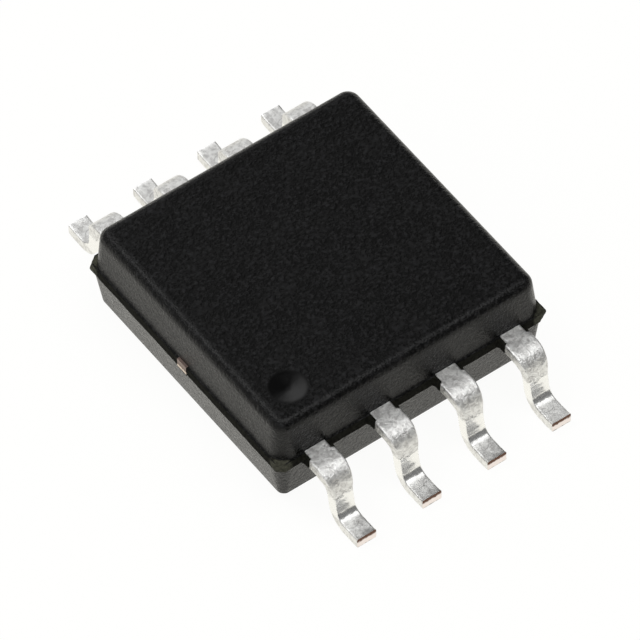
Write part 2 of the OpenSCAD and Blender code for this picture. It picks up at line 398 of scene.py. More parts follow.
def bowl(radius, depth, rings):
    """Profile of a wide cone with a rounded middle and a soft rim, from its rim to its middle."""
    parts = [1 - k / rings for k in range(rings)]
    slopes = [smooth(0, 0.35, part) * (1 - smooth(0.78, 1, part)) for part in parts]
    return [(radius * part, depth * sum(slopes[:k]) / sum(slopes)) for k, part in enumerate(parts)]


def dish(radius, depth, rim, rings):
    """Profile of a flat dish with a rounded rim, from outside the rim to near its middle."""
    profile = [(radius + 1.4 * rim, 0.0), (radius + rim, 0.0), (radius + 0.5 * rim, 0.06 * depth)]
    for k in range(rings):
        part = 1 - (k + 0.4) / rings
        profile.append((radius * part, depth * (1 - part ** 9) + 0.1 * depth * part))
    return profile


def flange_heights(s):
    """Lower and upper side of the flange. The resin shrinks a little below the leads' upper side."""
    return FRAME_TOP - s.flange_thickness, FRAME_TOP - RESIN_SINK


def body_levels(s):
    """Loops of the body from its bottom edge to its top edge.

    Each is (height, half length, half width, corner radius, material of the band above it).
    """
    half_x, half_y = flange_halves(s)
    flange_low, flange_top = flange_heights(s)
    thick = flange_top - flange_low
    levels = []

    def face_level(corner, ledge, draft, rise, height, inward=0.0,
                   material=MOULDED):
        """A loop on a drafted face, which has risen this far from the flange."""
        narrower = rise * math.tan(draft) + inward
        step = ledge + narrower
        levels.append((height, half_x - step, half_y - step, corner - narrower, material))

    def rounded_edge(radius, draft, part):
        """How far in and how far down a point of the rounded edge lies, from the face (0) in."""
        turn = draft + (math.pi / 2 - draft) * part
        return radius * (1 / math.cos(draft) - math.cos(turn)), radius * (1 - math.sin(turn))

    lower = s.lower_corner, s.lower_ledge, s.lower_draft
    lower_rise = flange_low - BODY_LOW.z - s.bottom_edge
    edge_steps = 6
    for k in range(edge_steps):
        inward, down = rounded_edge(s.bottom_edge, s.lower_draft, 1 - k / edge_steps)
        face_level(*lower, lower_rise, BODY_LOW.z + down, inward)
    face_steps = 12
    for k in range(face_steps + 1):
        rise = lower_rise * (1 - k / face_steps)
        face_level(*lower, rise, flange_low - rise, material=TORN if k == face_steps else MOULDED)
    flange_steps = 8
    for k in range(flange_steps + 1):
        levels.append((flange_low + thick * k / flange_steps, half_x, half_y, s.flange_corner,
                       TORN if k < flange_steps else MOULDED))
    upper = s.upper_corner, s.upper_ledge, s.upper_draft
    upper_rise = BODY_HIGH.z - s.top_edge - flange_top
    for k in range(face_steps + 1):
        rise = upper_rise * k / face_steps
        face_level(*upper, rise, flange_top + rise)
    edge_steps = 14
    for k in range(1, edge_steps + 1):
        inward, down = rounded_edge(s.top_edge, s.upper_draft, k / edge_steps)
        face_level(*upper, upper_rise, BODY_HIGH.z - down, inward)
    return levels


def ragged(point, s):
    """The place of a point once the flange is torn and its corners are broken."""
    x, y, z = point
    flange_low, flange_top = flange_heights(s)
    middle = (flange_low + flange_top) / 2
    near = 1 - smooth(0.09 * MM, 0.12 * MM, abs(z - middle))
    placed = point.copy()
    if near > 0:
        inward = Vector((-x, -y, 0)).normalized()
        bite = sum(deep * max(rough_noise(point, size, seed), 0) for size, deep, seed in BITES)
        placed += inward * near * bite
        sag = 0.012 * MM * rough_noise((x, y, 0), 0.16 * MM, 5.2)
        placed.z += sag * (1 - smooth(flange_low, middle, z)) * near
        reach = sum(flange_halves(s))
        height = min(max((z - flange_low) / (flange_top - flange_low), 0), 1)
        for sign_x, sign_y, low_cut, high_cut in BROKEN_CORNERS:
            cut = low_cut + (high_cut - low_cut) * height
            over = sign_x * placed.x + sign_y * placed.y - (reach - cut)
            if over > 0:
                placed.x -= sign_x * over / 2
                placed.y -= sign_y * over / 2
    return placed


def add_resin_blocks(mesh, s):
    """Blocks of dark torn resin between the flange and the stub on each side of each lead."""
    reach = bpy.context.scene.chip_leads.width / 2
    root = 0.02 * MM             # how far the resin goes on into the lead's edge
    inner = s.flange_width / 2 - 0.03 * MM
    outer = BODY_HIGH.y
    low, top = flange_heights(s)
    rows, columns = 10, 6
    for number in LEADS:
        along, turn = row_place(number)
        for side in (-1, 1):
            width = 0.05 * MM * (1 + 0.35 * rough_noise((along, side, number), 0.7, 1.0))
            block = []
            for j in range(rows + 1):
                out = inner + (outer - inner) * j / rows
                skew = 1.0 + 0.6 * (1 - smooth(0.0, 0.5, j / rows))
                ring = []
                for a, b in outline_of_bar(columns):
                    x = reach - root + (width * skew + root) * a
                    z = low + (top - low) * b
                    shake = 0.006 * MM * rough_noise((x + along, out, z + side), 0.03 * MM, number)
                    held = smooth(0.0, 0.3, a)
                    place = Vector((along + side * (x + shake * held),
                                    -out + abs(shake) * (j > 0),
                                    z - abs(shake) * (b == 1)))
                    ring.append(mesh.verts.new(turn @ place))
                block.append(ring)
            for j in range(rows):
                stitch(mesh, block[j], block[j + 1], TORN)
            for ring in (block[0], block[-1]):
                mesh.faces.new(ring).material_index = TORN


def outline_of_bar(steps):
    """Points round a unit square, with a few along each side."""
    side = [k / steps for k in range(steps)]
    points = [(a, 0.0) for a in side] + [(1.0, a) for a in side]
    return points + [(1 - a, 1.0) for a in side] + [(0.0, 1 - a) for a in side]


def mark_torn_faces(mesh, s):
    """Gives the torn strip and the ledge at the broken corners of the flange their finish."""
    flange_top = flange_heights(s)[1]
    corner_reach = sum(flange_halves(s))
    for face in mesh.faces:
        place = face.calc_center_median()
        in_strip = bump_at(TORN_AT, TORN_REACH, place.x) * (place.y < 0) > 0.05
        torn_to = BODY_LOW.z + 0.05 * MM * (1 + 0.7 * rough_noise(place, 0.15 * MM, 6.6))
        on_ledge = abs(place.z - flange_top) < 0.005 * MM
        at_corner = abs(place.x) + abs(place.y) > corner_reach - BREAK_REACH
        if in_strip and BODY_LOW.z + 0.012 * MM < place.z < torn_to or on_ledge and at_corner:
            face.material_index = TORN


def moulded_body_mesh(s):
    """The whole outer surface of the moulded body."""
    mesh = bmesh.new()
    rings, flats = [], []
    levels = body_levels(s)
    for height, half_x, half_y, radius, _ in levels:
        loop = rounded_loop(half_x, half_y, radius)
        flats.append(loop)
        rings.append([mesh.verts.new(ragged(Vector((*p, height)), s)) for p in loop])
    for level, ring, next_ring in zip(levels, rings, rings[1:]):
        stitch(mesh, ring, next_ring, level[-1])
    mark_torn_faces(mesh, s)
    half_x, half_y = flange_halves(s)
    dimple_r, mark_r = s.dimple_diameter / 2, s.mark_diameter / 2
    dimple = Recess(s.dimple_inset - half_x, s.dimple_inset - half_y, dimple_r + 0.07 * MM,
                    bowl(dimple_r, s.dimple_depth, rings=18), floor_from=2)
    marks = [
        Recess(side * s.mark_spacing / 2, 0.0, mark_r + 0.16 * MM,
               dish(mark_r, s.mark_depth, rim=0.015 * MM, rings=8), floor_from=3)
        for side in (-1, 1)
    ]
    flat_face(mesh, rings[-1], flats[-1], levels[-1][0], 1, [dimple])
    flat_face(mesh, rings[0], flats[0], levels[0][0], -1, marks)
    add_resin_blocks(mesh, s)
    bmesh.ops.recalc_face_normals(mesh, faces=mesh.faces)
    result = bpy.data.meshes.new("mould_body_detail")
    mesh.to_mesh(result)
    mesh.free()
    return result


# --- Leads ----------------------------------------------------------------------------------

PATH_START = 2.45 * MM           # inside the resin, where the swept part takes over
STUB_EDGE = 0.018 * MM           # length over which a stub gains half of its extra width
WAVE_SIZE = 0.11 * MM            # size of the shallow waves that stamping leaves on the faces
WAVE_HEIGHT = 0.011 * MM
TIP_CURL = 0.022 * MM            # how far the tip of a foot lifts off the board
CUT_END = 0.02 * MM              # faces this close to the tip are the cut end


def lead_path(s):
    """Centre line of a formed lead, as points whose x is the distance out and y the height."""
    thick = s.thickness
    middle = FRAME_TOP - thick / 2
    heel = Vector((TIP_OUT - s.foot_length, thick + s.heel_radius))
    knee_z = FRAME_TOP - thick - s.knee_radius
    drop = (knee_z - heel.y) * math.sin(s.lean)
    bends = s.knee_radius + thick + s.heel_radius
    knee = Vector((heel.x - (bends + drop) / math.cos(s.lean), knee_z))
    points = [Vector((PATH_START, middle)), Vector((knee.x, middle))]
    bend_steps = 14
    for k in range(1, bend_steps + 1):
        turn = math.pi / 2 - (math.pi / 2 - s.lean) * k / bend_steps
        points.append(knee + (s.knee_radius + thick / 2) * Vector((math.cos(turn), math.sin(turn))))
    for k in range(bend_steps + 1):
        turn = math.pi + s.lean + (math.pi / 2 - s.lean) * k / bend_steps
        points.append(heel + (s.heel_radius + thick / 2) * Vector((math.cos(turn), math.sin(turn))))
    points.append(Vector((TIP_OUT, thick / 2)))
    return points


def strip_tree():
    """Sweeps a rounded strip along a lead's centre line, widens it at the stub and waves its faces."""
    tree = bpy.data.node_groups.new("Formed strip", "GeometryNodeTree")
    face = tree.interface
    face.new_socket("Geometry", in_out="INPUT", socket_type="NodeSocketGeometry")
    names = ("Thickness", "Width", "Foot Width", "Stub Width", "Stub Start", "Taper Start",
             "Taper End", "Edge Radius", "Spacing", "Wave Height", "Seed")
    for name in names:
        face.new_socket(name, in_out="INPUT", socket_type="NodeSocketFloat")
    face.new_socket("Material", in_out="INPUT", socket_type="NodeSocketMaterial")
    face.new_socket("Geometry", in_out="OUTPUT", socket_type="NodeSocketGeometry")
    given = add(tree, "NodeGroupInput").outputs
    path = add(tree, "GeometryNodeResampleCurve", {"Curve": given["Geometry"]}, mode="LENGTH")
    tree.links.new(given["Spacing"], path.inputs["Length"])
    level = add(tree, "GeometryNodeSetCurveNormal", {"Curve": path}, mode="Z_UP")
    along = add(tree, "GeometryNodeSplineParameter").outputs["Length"]
    marked = add(tree, "GeometryNodeStoreNamedAttribute",
                 {"Geometry": level, "Name": "along", "Value": along},
                 data_type="FLOAT", domain="POINT")
    blank = add(tree, "GeometryNodeCurvePrimitiveQuadrilateral",
                {"Width": given["Width"], "Height": given["Thickness"]}, mode="RECTANGLE")
    rounded = add(tree, "GeometryNodeFilletCurve",
                  {"Curve": blank, "Radius": given["Edge Radius"], "Count": 4}, mode="POLY")
    section = add(tree, "GeometryNodeResampleCurve", {"Curve": rounded, "Count": 72}, mode="COUNT")
    place = add(tree, "GeometryNodeInputPosition").outputs[0]
    kept = add(tree, "GeometryNodeStoreNamedAttribute",
               {"Geometry": section, "Name": "section", "Value": place},
               data_type="FLOAT_VECTOR", domain="POINT")
    swept = add(tree, "GeometryNodeCurveToMesh",
                {"Curve": marked, "Profile Curve": kept, "Fill Caps": True})
    run = add(tree, "GeometryNodeInputNamedAttribute", {"Name": "along"}, data_type="FLOAT")
    run = run.outputs["Attribute"]
    taper = add(tree, "ShaderNodeMapRange",
                {"Value": run, "From Min": given["Taper Start"], "From Max": given["Taper End"],
                 "To Min": given["Stub Width"], "To Max": given["Foot Width"]},
                interpolation_type="SMOOTHSTEP")
    gap = add(tree, "ShaderNodeMath", {0: run, 1: given["Stub Start"]}, operation="SUBTRACT")
    width = add(tree, "ShaderNodeMapRange",
                {"Value": gap, "From Min": -STUB_EDGE, "From Max": STUB_EDGE,
                 "To Min": given["Width"], "To Max": taper},
                interpolation_type="SMOOTHSTEP")
    share = add(tree, "ShaderNodeMath", {0: width, 1: given["Width"]}, operation="DIVIDE")
    growth = add(tree, "ShaderNodeMath", {0: share, 1: 1.0}, operation="SUBTRACT")
    split = add(tree, "ShaderNodeSeparateXYZ", {0: place})
    shift = add(tree, "ShaderNodeMath", {0: split.outputs["X"], 1: growth}, operation="MULTIPLY")
    aside = add(tree, "ShaderNodeCombineXYZ", {"X": shift})
    widened = add(tree, "GeometryNodeSetPosition", {"Geometry": swept, "Offset": aside})
    waves = add(tree, "ShaderNodeTexNoise",
                {"Vector": place, "W": given["Seed"], "Scale": 1 / WAVE_SIZE, "Detail": 3.0},
                noise_dimensions="4D")
    signed = add(tree, "ShaderNodeMath", {0: waves, 1: 0.5}, operation="SUBTRACT")
    height = add(tree, "ShaderNodeMath", {0: signed, 1: given["Wave Height"]}, operation="MULTIPLY")
    outward = add(tree, "GeometryNodeInputNormal").outputs[0]
    lift = add(tree, "ShaderNodeVectorMath", {0: outward, "Scale": height}, operation="SCALE")
    waved = add(tree, "GeometryNodeSetPosition", {"Geometry": widened, "Offset": lift})
    shaded = add(tree, "GeometryNodeSetShadeSmooth", {"Geometry": waved})
    real = add(tree, "GeometryNodeRealizeInstances", {"Geometry": shaded})
    dressed = add(tree, "GeometryNodeSetMaterial",
                  {"Geometry": real, "Material": given["Material"]})
    add(tree, "NodeGroupOutput", {"Geometry": dressed})
    return tree


def run_tree(source, tree, values):
    """Runs a tree on an object and returns the result as a plain mesh."""
    modifier = source.modifiers.new("tree", "NODES")
    modifier.node_group = tree
    for item in tree.interface.items_tree:
        if item.item_type == "SOCKET" and item.in_out == "INPUT" and item.name in values:
            modifier[item.identifier] = values[item.name]
    bpy.context.view_layer.update()
    graph = bpy.context.evaluated_depsgraph_get()
    result = bpy.data.meshes.new_from_object(source.evaluated_get(graph), depsgraph=graph)
    source.modifiers.remove(modifier)
    bpy.data.objects.remove(source)
    return result


def swept_lead(number, s, tree, tin):
    """The formed part of one lead in its row's frame, where outwards is -Y."""
    points = lead_path(s)
    line = bpy.data.curves.new("centre_line", "CURVE")
    line.dimensions = "3D"
    spline = line.splines.new("POLY")
    spline.points.add(len(points) - 1)
    for target, p in zip(spline.points, points):
        target.co = (0.0, -p.x, p.y, 1.0)
    source = bpy.data.objects.new("centre_line", line)
    bpy.context.scene.collection.objects.link(source)
    start = s.stub_start - PATH_START
    values = {
        "Thickness": s.thickness,
        "Width": s.width,
        "Foot Width": s.foot_width,
        "Stub Width": s.stub_width,
        "Stub Start": start,
        "Taper Start": start + s.stub_length,
        "Taper End": start + s.stub_length + s.taper_length,
        "Edge Radius": s.edge_radius,
        "Spacing": s.spacing,
        "Wave Height": WAVE_HEIGHT,
        "Seed": 1.7 * number,
        "Material": tin,
    }
    return run_tree(source, tree, values)


def form_foot(mesh, s):
    """Curls the foot's tip up a little, and keeps the lead on the board and within its length."""
    curl_from = TIP_OUT - 0.5 * s.foot_length
    for v in mesh.vertices:
        out = -v.co.y
        if out > curl_from:
            part = (out - curl_from) / (TIP_OUT - curl_from)
            v.co.z += TIP_CURL * part ** 2
        v.co.z = max(v.co.z, 0.0)
        v.co.y = max(v.co.y, -TIP_OUT)


def inner_finger(node):
    """The part of a lead's own solid that the resin hides, as loose geometry."""
    part = bmesh.new()
    part.from_mesh(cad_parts[node].data)
    bmesh.ops.remove_doubles(part, verts=part.verts, dist=0.0005 * MM)
    overlap = 0.02 * MM          # how far the finger runs on into the swept part
    cut = PATH_START + overlap
    side = -1 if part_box(node)[0].y < 0 else 1
    everything = list(part.verts) + list(part.edges) + list(part.faces)
    made = bmesh.ops.bisect_plane(part, geom=everything, plane_co=(0, side * cut, 0),
                                  plane_no=(0, side, 0), clear_outer=True)
    edges = [e for e in made["geom_cut"] if isinstance(e, bmesh.types.BMEdge)]
    bmesh.ops.edgeloop_fill(part, edges=edges)
    return part


# --- Materials ------------------------------------------------------------------------------


def new_material(name, inputs=None):
    """A node material, its tree, its principled shader and the place on the piece, in metres."""
    material = bpy.data.materials.new(name)
    material.use_nodes = True
    tree = material.node_tree
    tree.nodes.clear()
    shader = add(tree, "ShaderNodeBsdfPrincipled", inputs)
    add(tree, "ShaderNodeOutputMaterial", {"Surface": shader})
    return material, tree, shader, add(tree, "ShaderNodeTexCoord").outputs["Object"]


def graded(node, *stops):
    """Sets the (position, colour) stops of a colour ramp, and returns its colour."""
    elements = node.color_ramp.elements
    while len(elements) < len(stops):
        elements.new(0.5)
    for element, (position, colour) in zip(elements, stops):
        element.position = position
        element.color = rgba(colour)
    return node.outputs[0]


def moulded_epoxy(s):
    """Silica-filled moulding epoxy as a spark-eroded mould leaves it.

    Near black and matt face on, with a fine grain; at a low angle it picks up the floor's light.
    """
    material, tree, shader, point = new_material(
        "silica-filled epoxy, matt moulded", {"IOR": 1.5, "Specular IOR Level": 0.24})
    coarse = add(tree, "ShaderNodeTexNoise", {"Vector": point, "Scale": 1 / (1.6 * s.grain)}).outputs[0]
    fine = add(tree, "ShaderNodeTexNoise", {"Vector": point, "Scale": 1 / (0.7 * s.grain)}).outputs[0]
    patches = add(tree, "ShaderNodeTexNoise", {"Vector": point, "Scale": 1 / (0.6 * MM)}).outputs[0]
    black = [0.0, 0.0, 0.0]
    colour = graded(add(tree, "ShaderNodeValToRGB", {"Fac": coarse}), (0.42, black),
                    (0.56, [0.4 * c for c in s.resin]), (0.72, [2.6 * c for c in s.resin]))
    rough = add(tree, "ShaderNodeMapRange", {"Value": patches, "To Min": 0.06, "To Max": 0.18})
    rough = add(tree, "ShaderNodeMath", {0: coarse, 1: 0.30, 2: rough}, operation="MULTIPLY_ADD")
    total = add(tree, "ShaderNodeMath", {0: coarse, 1: 1.5, 2: fine}, operation="MULTIPLY_ADD")
    height = add(tree, "ShaderNodeSeparateXYZ", {0: point}).outputs["Z"]
    flat = add(tree, "ShaderNodeMapRange",
               {"Value": height, "From Min": BODY_HIGH.z - 0.012 * MM,
                "From Max": BODY_HIGH.z - 0.001 * MM, "To Min": 1.0, "To Max": 0.4})
    total = add(tree, "ShaderNodeMath", {0: total, 1: flat}, operation="MULTIPLY")
    bump = add(tree, "ShaderNodeBump", {"Height": total, "Strength": 1.0, "Distance": 0.009 * MM})
    feed(tree, shader, {"Base Color": colour, "Roughness": rough, "Normal": bump})
    return material


def torn_epoxy(s):
    """The same epoxy where it was torn at the parting line: dull and rough, with specks of filler.

    At the broken corners of the flange it is far paler, and its border is ragged.
    """
    material, tree, shader, point = new_material(
        "silica-filled epoxy, torn", {"IOR": 1.5, "Specular IOR Level": 0.08, "Roughness": 0.95})
    grit = add(tree, "ShaderNodeTexNoise",
               {"Vector": point, "Scale": 1 / (0.05 * MM), "Detail": 4.0}).outputs[0]
    torn, broken = [
        graded(add(tree, "ShaderNodeValToRGB", {"Fac": grit}),
               (0.3, [dark * c for c in s.torn_resin]), (0.75, [light * c for c in s.torn_resin]))
        for dark, light in ((0.5, 3.0), (5.0, 15.0))
    ]
    split = add(tree, "ShaderNodeSeparateXYZ", {0: point})
    lengthwise = add(tree, "ShaderNodeMath", {0: split.outputs["X"]}, operation="ABSOLUTE")
    crosswise = add(tree, "ShaderNodeMath", {0: split.outputs["Y"]}, operation="ABSOLUTE")
    outward = add(tree, "ShaderNodeMath", {0: lengthwise, 1: crosswise}, operation="ADD")
    outward = add(tree, "ShaderNodeMath", {0: grit, 1: 0.10 * MM, 2: outward},
                  operation="MULTIPLY_ADD")
    reach = sum(flange_halves(s))
    at_corner = add(tree, "ShaderNodeMapRange",
                    {"Value": outward, "From Min": reach - 0.23 * MM,
                     "From Max": reach - 0.16 * MM})
    colour = add(tree, "ShaderNodeMix", {"Factor": at_corner, 6: torn, 7: broken}, data_type="RGBA")
    bump = add(tree, "ShaderNodeBump", {"Height": grit, "Strength": 0.8, "Distance": 0.02 * MM})
    feed(tree, shader, {"Base Color": colour.outputs[2], "Normal": bump})
    return material


def polished_epoxy(s):
    """The same epoxy where a polished pin of the mould met it: smoother, with a soft shine."""
    material, tree, shader, point = new_material(
        "silica-filled epoxy, polished",
        {"IOR": 1.5, "Specular IOR Level": 0.5,
         "Base Color": rgba([0.1 * c for c in s.resin])})
    grain = add(tree, "ShaderNodeTexNoise", {"Vector": point, "Scale": 1 / (0.08 * MM)}).outputs[0]
    rough = add(tree, "ShaderNodeMapRange", {"Value": grain, "To Min": 0.09, "To Max": 0.15})
    bump = add(tree, "ShaderNodeBump", {"Height": grain, "Strength": 0.3, "Distance": 0.004 * MM})
    feed(tree, shader, {"Roughness": rough, "Normal": bump})
    return material


def matt_tin(s):
    """Matt tin plating on stamped copper alloy.

    The shoulder and the upper bend are dull, with a coarse crinkle of crystals that ends in a
    ragged line on the leg. Below it the forming tool has rubbed the plating smooth and bright, with
    creases across the leg, and the foot is dull again.
    """
    material, tree, shader, point = new_material(
        "matt tin plate on copper alloy", {"Metallic": 1.0})
    coarse = add(tree, "ShaderNodeTexNoise",
                 {"Vector": point, "Scale": 1 / s.mottle, "Detail": 2.5, "Distortion": 0.7})
    coarse = coarse.outputs[0]
    fine = add(tree, "ShaderNodeTexNoise", {"Vector": point, "Scale": 1 / (0.35 * s.mottle)}).outputs[0]
    patches = add(tree, "ShaderNodeTexNoise",
                  {"Vector": point, "Scale": 1 / (3.0 * s.mottle)}).outputs[0]
    height = add(tree, "ShaderNodeSeparateXYZ", {0: point}).outputs["Z"]
    ragged_height = add(tree, "ShaderNodeMath", {0: coarse, 1: 0.22 * MM, 2: height},
                        operation="MULTIPLY_ADD").outputs[0]
    dull_from, dull_full = 0.73 * MM, 0.79 * MM        # ragged heights where the dull plating starts
    dull = add(tree, "ShaderNodeMapRange",
               {"Value": ragged_height, "From Min": dull_from, "From Max": dull_full},
               interpolation_type="SMOOTHSTEP").outputs[0]
    crystals = add(tree, "ShaderNodeMath", {0: coarse, 1: 0.62, 2: 0.0}, operation="MULTIPLY_ADD")
    crystals = add(tree, "ShaderNodeMath", {0: fine, 1: 0.16, 2: crystals},
                   operation="MULTIPLY_ADD")
    crystals = add(tree, "ShaderNodeMath", {0: patches, 1: 0.22, 2: crystals},
                   operation="MULTIPLY_ADD")
    mottled = graded(add(tree, "ShaderNodeValToRGB", {"Fac": crystals}),
                     (0.40, s.dull_tin), (0.56, s.tin))
    on_leg = add(tree, "ShaderNodeMapRange",
                 {"Value": height, "From Min": s.thickness + 0.005 * MM,
                  "From Max": s.thickness + 0.035 * MM}).outputs[0]
    foot = add(tree, "ShaderNodeMapRange", {"Value": on_leg, "To Min": 0.42, "To Max": 0.19})
    on_foot = add(tree, "ShaderNodeMapRange", {"Value": on_leg, "To Min": 0.75, "To Max": 0.0})
    mottling = add(tree, "ShaderNodeMath", {0: dull, 1: on_foot}, operation="MAXIMUM")
    colour = add(tree, "ShaderNodeMix", {"Factor": mottling, 6: rgba(s.tin), 7: mottled},
                 data_type="RGBA")
    dressed = add(tree, "ShaderNodeMix",
                  {"Factor": contact_mark(tree), 6: colour.outputs[2],
                   7: rgba([0.45 * c for c in s.tin])}, data_type="RGBA")
    spread = add(tree, "ShaderNodeMapRange", {"Value": dull, "To Min": foot, "To Max": 0.42})
    rough = add(tree, "ShaderNodeMath", {0: coarse, 1: 0.16, 2: spread}, operation="MULTIPLY_ADD")
    crease_spacing = 0.1 * MM
    creases = add(tree, "ShaderNodeTexWave",
                  {"Vector": point, "Scale": 0.32 / crease_spacing, "Distortion": 3.5, "Detail": 1.5,
                   "Detail Scale": 1.5}, wave_type="BANDS", bands_direction="Z").outputs[0]
    creased = add(tree, "ShaderNodeMapRange",
                  {"Value": height, "From Min": 0.24 * MM, "From Max": 0.34 * MM,
                   "To Max": 0.08}).outputs[0]
    creases = add(tree, "ShaderNodeMath", {0: creases, 1: creased}, operation="MULTIPLY")
    bent = add(tree, "ShaderNodeMapRange",
               {"Value": height, "From Min": FRAME_TOP - 0.07 * MM, "From Max": FRAME_TOP,
                "To Min": 1.0, "To Max": 0.35})
    crystals = add(tree, "ShaderNodeMath", {0: crystals, 1: bent}, operation="MULTIPLY")
    relief = add(tree, "ShaderNodeMix", {"Factor": dull, 2: creases,
                                         3: crystals}, data_type="FLOAT")
    bump = add(tree, "ShaderNodeBump", {"Height": relief, "Strength": 1.0, "Distance": 0.029 * MM})
    feed(tree, shader, {"Base Color": dressed.outputs[2], "Roughness": rough, "Normal": bump})
    return material


def contact_mark(tree):
    """Mask of the fine arc that a test contact left on a foot, from the stored path and section."""
    along = add(tree, "ShaderNodeAttribute", attribute_name="along").outputs["Fac"]
    section = add(tree, "ShaderNodeAttribute", attribute_name="section").outputs["Vector"]
    across = add(tree, "ShaderNodeSeparateXYZ", {0: section}).outputs["X"]
    place = add(tree, "ShaderNodeCombineXYZ", {"X": along, "Y": across})
    centre, radius = (1.70 * MM, 0.05 * MM, 0.0), 0.15 * MM
    reach = add(tree, "ShaderNodeVectorMath", {0: place, 1: centre},
                operation="DISTANCE").outputs["Value"]
    off = add(tree, "ShaderNodeMath", {0: reach, 1: radius}, operation="SUBTRACT")
    off = add(tree, "ShaderNodeMath", {0: off}, operation="ABSOLUTE")
    line = add(tree, "ShaderNodeMapRange",
               {"Value": off, "From Min": 0.003 * MM, "From Max": 0.016 * MM,
                "To Min": 0.45, "To Max": 0.0}, interpolation_type="SMOOTHSTEP")
    half = add(tree, "ShaderNodeMapRange",
               {"Value": along, "From Min": 1.72 * MM, "From Max": 1.80 * MM})
    return add(tree, "ShaderNodeMath", {0: line, 1: half}, operation="MULTIPLY").outputs[0]


def sheared_copper(s):
    """Bare copper alloy where the trim tool cut through the plating: torn above, burnished below; the
    torn band's dark brown is partly its own colour and partly painted shade.
    """
    material, tree, shader, point = new_material(
        "sheared copper alloy", {"Metallic": 1.0, "Roughness": 0.42})
    grain = add(tree, "ShaderNodeTexNoise",
                {"Vector": point, "Scale": 1 / (0.05 * MM), "Detail": 3.0}).outputs[0]
    shift = add(tree, "ShaderNodeMath", {0: grain, 1: 0.5}, operation="SUBTRACT")
    height = add(tree, "ShaderNodeSeparateXYZ", {0: point}).outputs["Z"]
    level = add(tree, "ShaderNodeMapRange", {"Value": height, "From Max": s.thickness})
    level = add(tree, "ShaderNodeMath", {0: shift, 1: 0.35, 2: level}, operation="MULTIPLY_ADD")
    burnished = [0.74 + 0.26 * c for c in s.copper]
    # Dark brown above: the torn zone's own colour, darkened further by painted shade
    torn = [0.22 * c for c in s.copper]
    colour = graded(add(tree, "ShaderNodeValToRGB", {"Fac": level}),
                    (0.08, linear("#8d8d8b")), (0.20, burnished), (0.66, burnished), (0.80, torn))
    bump = add(tree, "ShaderNodeBump", {"Height": grain, "Strength": 0.6, "Distance": 0.006 * MM})
    feed(tree, shader, {"Base Color": colour, "Normal": bump})
    return material


def plain_finish(name, code, metallic, roughness, grain_mm, contrast):
    """One colour with a grain of a real size: a material with its tree, shader, place and colour."""
    material, tree, shader, point = new_material(
        name, {"Metallic": metallic, "Roughness": roughness})
    grain = add(tree, "ShaderNodeTexNoise",
                {"Vector": point, "Scale": 1 / (grain_mm * MM), "Detail": 3.0}).outputs[0]
    base = linear(code)
    colour = graded(add(tree, "ShaderNodeValToRGB", {"Fac": grain}),
                    (0.0, [(1 - contrast) * c for c in base]), (1.0, base))
    bump = add(tree, "ShaderNodeBump",
               {"Height": grain, "Strength": 0.3, "Distance": 0.1 * grain_mm * MM})
    feed(tree, shader, {"Base Color": colour, "Normal": bump})
    return material, tree, shader, point, colour


def lead_frame_copper(s):
    """Rolled copper alloy, and the cut ends of its tie bars: torn brown above a burnished strip."""
    material, tree, shader, point, rolled = plain_finish("rolled copper alloy", "#b87a56", 1.0, 0.38,
                                                         0.05, 0.35)
    split = add(tree, "ShaderNodeSeparateXYZ", {0: point})
    reach = add(tree, "ShaderNodeMath", {0: split.outputs["X"]}, operation="ABSOLUTE")
    cut = add(tree, "ShaderNodeMath", {0: reach, 1: PAD_HIGH.x - 0.07 * MM},
              operation="GREATER_THAN")
    level = add(tree, "ShaderNodeMapRange",
                {"Value": split.outputs["Z"], "From Min": FRAME_TOP - s.thickness,
                 "From Max": FRAME_TOP})
    grain = add(tree, "ShaderNodeTexNoise", {"Vector": point, "Scale": 1 / (0.03 * MM)})
    shake = add(tree, "ShaderNodeMath", {0: grain, 1: 0.5}, operation="SUBTRACT")
    level = add(tree, "ShaderNodeMath", {0: shake, 1: 0.25, 2: level}, operation="MULTIPLY_ADD")
    ends = graded(add(tree, "ShaderNodeValToRGB", {"Fac": level}),
                  (0.10, linear("#1c1511")), (0.18, linear("#d8cabb")), (0.34, linear("#d8cabb")),
                  (0.42, linear("#5a463c")), (0.90, linear("#84736c")))
    colour = add(tree, "ShaderNodeMix", {"Factor": cut, 6: rolled, 7: ends}, data_type="RGBA")
    feed(tree, shader, {"Base Color": colour.outputs[2]})
    return material


def set_material(node, material):
    """Gives a frame node one material."""
    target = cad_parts[node]
    target.data.materials.clear()
    target.data.materials.append(material)


# --- Operators ------------------------------------------------------------------------------


class CHIP_OT_body(bpy.types.Operator):
    """Make the moulded body with its flange, edges, dimple and ejector marks"""

    bl_idname = "chip.body"
    bl_label = "Moulded body"

    def execute(self, context):
        s = context.scene.chip_body
        mesh = moulded_body_mesh(s)
        for material in (moulded_epoxy(s), torn_epoxy(s), polished_epoxy(s)):
            mesh.materials.append(material)
        new_piece("mould_body_detail", mesh, ["mould_body"])
        return {"FINISHED"}


